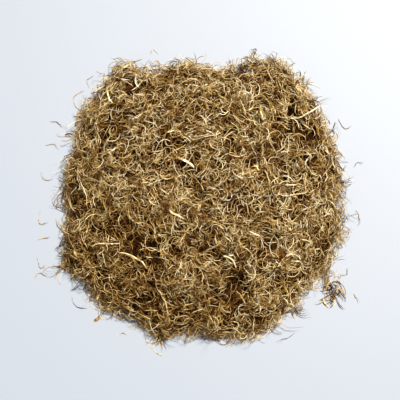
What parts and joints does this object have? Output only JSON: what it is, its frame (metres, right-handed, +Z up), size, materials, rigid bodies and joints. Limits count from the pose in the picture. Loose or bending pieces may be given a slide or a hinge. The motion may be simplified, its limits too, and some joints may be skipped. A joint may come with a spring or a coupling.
{
  "type": "dried shredded mushroom stems",
  "caption": "Loose tangled heap of dried, finely shredded shiitake stems, with pale splinters and curled threads strayed round its foot.",
  "frame": {"origin": "on the resting surface, at the middle of the whole footprint", "axes": "+Z up from the resting surface; -Y towards the viewer of the picture, +X to the viewer's right"},
  "size_m": [0.2268, 0.2114, 0.0547],
  "materials": {
    "matted_fibre": "dry matt tangled fibre, tan to dark brown",
    "tan_fibre": "dry matt shredded stem, tan",
    "pale_core": "dry ivory stem core, faintly silky",
    "brown_fibre": "dry matt brown thread",
    "stem_bark": "dry red-brown outer skin of the stem"
  },
  "bodies": {
    "root": {"heap": "matted_fibre", "side_tuft": "tan_fibre", "bark_chip": "stem_bark", "pale_splinter_1": "pale_core", "pale_splinter_2": "pale_core", "pale_splinter_3": "pale_core", "pale_splinter_4": "pale_core", "pale_splinter_5": "pale_core", "pale_splinter_6": "pale_core", "pale_splinter_7": "pale_core", "pale_splinter_8": "pale_core", "pale_splinter_9": "pale_core", "pale_splinter_10": "pale_core", "pale_splinter_11": "pale_core", "pale_splinter_12": "pale_core", "long_shred_1": "tan_fibre", "long_shred_2": "tan_fibre", "long_shred_3": "tan_fibre", "long_shred_4": "tan_fibre", "long_shred_5": "tan_fibre", "long_shred_6": "tan_fibre", "long_shred_7": "tan_fibre", "long_shred_8": "tan_fibre", "long_shred_9": "tan_fibre", "long_shred_10": "tan_fibre", "long_shred_11": "tan_fibre", "long_shred_12": "tan_fibre", "long_shred_13": "tan_fibre", "long_shred_14": "tan_fibre", "long_shred_15": "tan_fibre", "long_shred_16": "tan_fibre", "long_shred_17": "tan_fibre", "long_shred_18": "tan_fibre", "long_shred_19": "tan_fibre", "long_shred_20": "tan_fibre", "long_shred_21": "tan_fibre", "long_shred_22": "tan_fibre", "long_shred_23": "tan_fibre", "long_shred_24": "tan_fibre", "long_shred_25": "tan_fibre", "stray_thread_1": "brown_fibre", "stray_thread_2": "brown_fibre", "stray_thread_3": "brown_fibre", "stray_thread_4": "brown_fibre", "stray_thread_5": "brown_fibre", "stray_thread_6": "brown_fibre", "stray_thread_7": "brown_fibre", "stray_thread_8": "brown_fibre", "stray_thread_9": "brown_fibre", "stray_thread_10": "brown_fibre", "stray_thread_11": "brown_fibre", "stray_thread_12": "brown_fibre", "stray_thread_13": "brown_fibre", "stray_thread_14": "brown_fibre", "stray_thread_15": "brown_fibre", "stray_thread_16": "brown_fibre", "stray_thread_17": "brown_fibre", "stray_thread_18": "brown_fibre", "stray_thread_19": "brown_fibre"}
  },
  "joints": []
}
